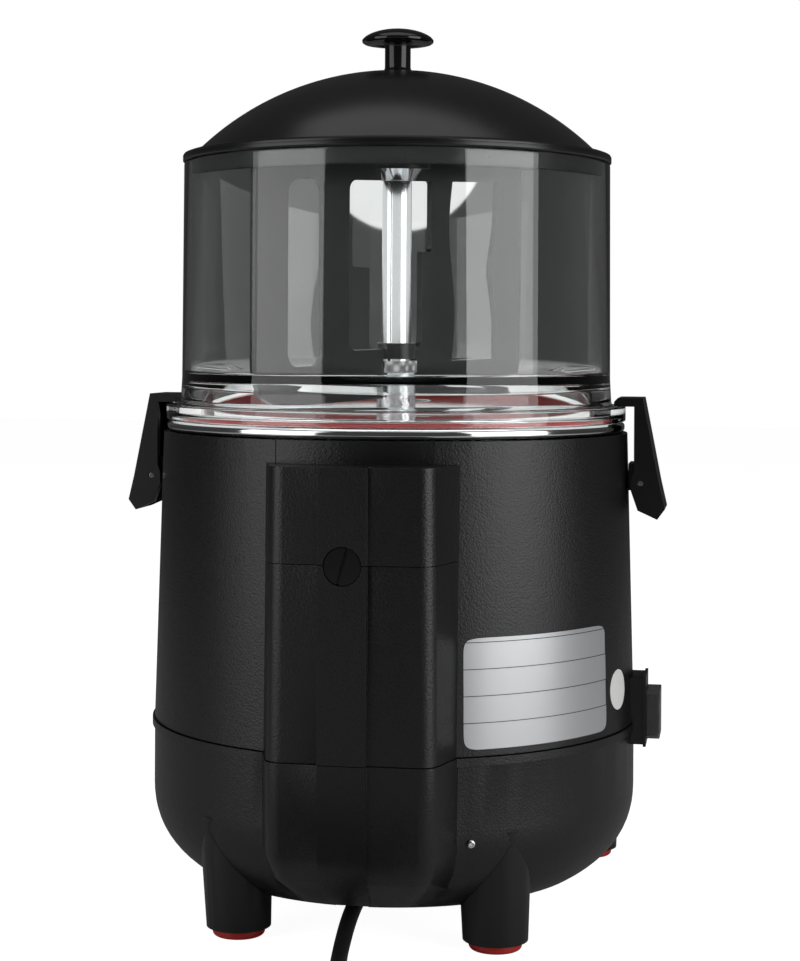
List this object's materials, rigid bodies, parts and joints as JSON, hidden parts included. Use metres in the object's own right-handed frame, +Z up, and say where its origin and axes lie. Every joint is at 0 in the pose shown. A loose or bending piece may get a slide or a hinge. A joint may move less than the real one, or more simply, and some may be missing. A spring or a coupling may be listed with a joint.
{
  "type": "heated countertop sauce and chocolate dispenser",
  "caption": "Heated countertop dispenser with a clear bowl, stirring paddle, domed lid, side latches, front tap, drip tray and rear service spine.",
  "frame": {"origin": "centre of the footprint's bounding box on the counter, under the rubber feet; the bowl axis stands 60 mm behind it", "axes": "+Z up; -Y is the front, where the tap and the drip tray are; +Y is the rear, where the spine and the cord are; +X is the left side seen from behind"},
  "size_m": [0.2846, 0.589, 0.4595],
  "materials": {
    "textured_black": "fine leather grain",
    "satin_black": "satin",
    "gloss_black": "gloss",
    "dark_plastic": "satin",
    "clear_bowl": "clear polycarbonate",
    "polished_steel": "polished",
    "brushed_steel": "brushed",
    "red_rubber": "matt silicone",
    "cord_rubber": "matt",
    "bronze": "sintered",
    "cream_plastic": "satin",
    "amber_lens": "gloss",
    "silver_label": "satin foil",
    "white_label": "paper"
  },
  "bodies": {
    "root": {"base_shell": "textured_black", "bottom_plate": "brushed_steel", "tray_shelf": "satin_black", "front_housing": "textured_black", "body_shell": "textured_black", "rear_cover": "textured_black", "reset_cover": "textured_black", "rear_legs": "satin_black", "front_legs": "satin_black", "foot_pads": "red_rubber", "heating_pan": "polished_steel", "water_tank": "brushed_steel", "bowl_gasket": "red_rubber", "bowl": "clear_bowl", "centre_tube": "polished_steel", "tube_nut": "polished_steel", "shaft_bushes": "bronze", "gear_motor": "dark_plastic", "motor_bracket": "brushed_steel", "heating_element": "brushed_steel", "thermostat": "dark_plastic", "overheat_cutout": "dark_plastic", "terminal_block": "cream_plastic", "latch_bracket_left": "satin_black", "latch_bracket_right": "satin_black", "latch_pin_left": "polished_steel", "latch_pin_right": "polished_steel", "outlet_elbow": "brushed_steel", "tap_body": "gloss_black", "tap_bonnet": "gloss_black", "tap_spring": "brushed_steel", "tap_lever_pin": "brushed_steel", "pilot_lamp": "amber_lens", "switch_housing": "satin_black", "switch_cover": "clear_bowl", "rating_label": "silver_label", "round_sticker": "white_label", "cover_screws": "polished_steel", "cord_gland": "cord_rubber", "cord_run": "cord_rubber", "cord_coil": "cord_rubber", "cord_tail": "cord_rubber", "plug": "cord_rubber"},
    "stirrer": {"drive_shaft": "polished_steel", "stirring_paddle": "satin_black", "stirrer_hub": "polished_steel", "motor_coupling": "brushed_steel"},
    "lid_body": {"lid": "satin_black", "lid_knob": "gloss_black", "lid_screw": "brushed_steel"},
    "latch_left": {"latch_arm_left": "satin_black"},
    "latch_right": {"latch_arm_right": "satin_black"},
    "tap_handle": {"tap_lever": "gloss_black"},
    "tap_valve": {"tap_plunger": "dark_plastic"},
    "heat_knob": {"thermostat_knob": "gloss_black"},
    "power_rocker": {"switch_rocker": "dark_plastic"},
    "tray": {"drip_tray": "satin_black"},
    "grid": {"drip_grid": "brushed_steel"},
    "reset_plug": {"reset_cap": "gloss_black"},
    "reset_pin": {"reset_button": "red_rubber"}
  },
  "joints": [
    {"name": "stirrer_spin", "type": "hinge", "parent": "root", "child": "stirrer", "pos_m": [0, 0.06, 0.3], "axis": [0, 0, 1], "continuous": true},
    {"name": "lid_lift", "type": "slide", "parent": "root", "child": "lid_body", "axis": [0, 0, 1], "range_m": [0, 0.15]},
    {"name": "latch_left_swing", "type": "hinge", "parent": "root", "child": "latch_left", "pos_m": [0.1298, 0.06, 0.222], "axis": [0, 1, 0], "range_deg": [0, 16]},
    {"name": "latch_right_swing", "type": "hinge", "parent": "root", "child": "latch_right", "pos_m": [-0.1298, 0.06, 0.222], "axis": [0, -1, 0], "range_deg": [0, 16]},
    {"name": "tap_pull", "type": "hinge", "parent": "root", "child": "tap_handle", "pos_m": [0, -0.13, 0.247], "axis": [1, 0, 0], "range_deg": [0, 25], "stiffness_Nm_per_rad": 0.15, "springref_deg": -17.19},
    {"name": "tap_valve_lift", "type": "slide", "parent": "root", "child": "tap_valve", "axis": [0, 0, 1], "range_m": [0, 0.0061], "deforming": ["tap_spring"]},
    {"name": "heat_knob_turn", "type": "hinge", "parent": "root", "child": "heat_knob", "pos_m": [0, -0.0744, 0.138], "axis": [0, 1, 0], "range_deg": [0, 270]},
    {"name": "power_switch", "type": "hinge", "parent": "root", "child": "power_rocker", "pos_m": [-0.1285, 0.06, 0.103], "axis": [0, -1, 0], "range_deg": [0, 16]},
    {"name": "tray_slide", "type": "slide", "parent": "root", "child": "tray", "axis": [0, -1, 0], "range_m": [0, 0.15]},
    {"name": "grid_lift", "type": "slide", "parent": "tray", "child": "grid", "axis": [0, 0, 1], "range_m": [0, 0.034]},
    {"name": "reset_cap_off", "type": "slide", "parent": "root", "child": "reset_plug", "axis": [0, 1, 0], "range_m": [0, 0.03]},
    {"name": "reset_press", "type": "slide", "parent": "root", "child": "reset_pin", "axis": [0, -1, 0], "range_m": [0, 0.002], "stiffness_N_per_m": 600}
  ],
  "couplings": [
    {"joint": "tap_valve_lift", "follows": "tap_pull", "m_per_rad": 0.01375}
  ]
}
